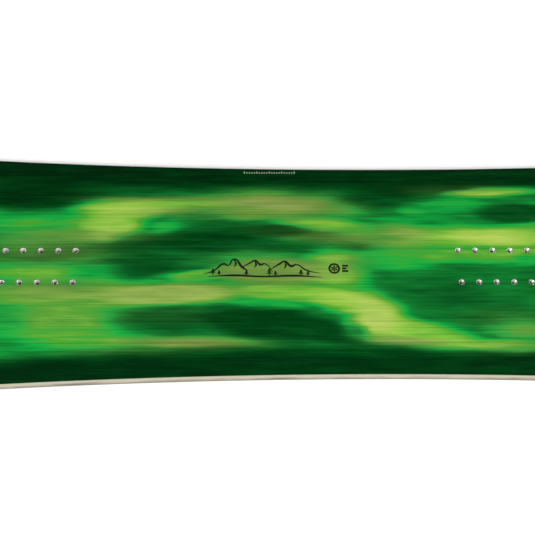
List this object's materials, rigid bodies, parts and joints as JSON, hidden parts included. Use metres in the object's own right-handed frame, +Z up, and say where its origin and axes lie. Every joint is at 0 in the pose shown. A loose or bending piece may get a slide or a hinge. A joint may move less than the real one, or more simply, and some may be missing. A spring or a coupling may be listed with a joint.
{
  "type": "snowboard",
  "caption": "Directional snowboard with a sandwich build, wrapped steel edges, a wood core between sidewalls, and threaded inserts for two bindings.",
  "frame": {"origin": "midway along the board, on its centreline, at the level of the running surface", "axes": "+X runs to the tail and -X to the nose, +Y is the rider's right facing the nose, +Z is up, out of the topsheet"},
  "size_m": [1.57, 0.3142, 0.058],
  "materials": {
    "base": "stone-ground sintered polyethylene",
    "steel_edge": "ground",
    "edge_foil": "matt",
    "laminate": "glass fibre in resin",
    "core_wood": "planed light hardwood",
    "core_dense_wood": "planed denser hardwood",
    "sidewall": "milled, cream",
    "tip_spacer": "milled, cream",
    "insert_steel": "turned stainless steel",
    "topsheet": "satin, printed in greens"
  },
  "bodies": {
    "root": {"base_sheet": "base", "left_steel_edge": "steel_edge", "right_steel_edge": "steel_edge", "left_edge_foil": "edge_foil", "right_edge_foil": "edge_foil", "lower_laminate": "laminate", "left_outer_core_strip": "core_wood", "left_narrow_core_strip": "core_dense_wood", "left_wide_core_strip": "core_wood", "centre_core_strip": "core_wood", "right_wide_core_strip": "core_wood", "right_narrow_core_strip": "core_dense_wood", "right_outer_core_strip": "core_wood", "left_sidewall": "sidewall", "right_sidewall": "sidewall", "nose_spacer": "tip_spacer", "tail_spacer": "tip_spacer", "front_left_inserts": "insert_steel", "front_right_inserts": "insert_steel", "rear_left_inserts": "insert_steel", "rear_right_inserts": "insert_steel", "upper_laminate": "laminate", "topsheet": "topsheet"}
  },
  "joints": []
}
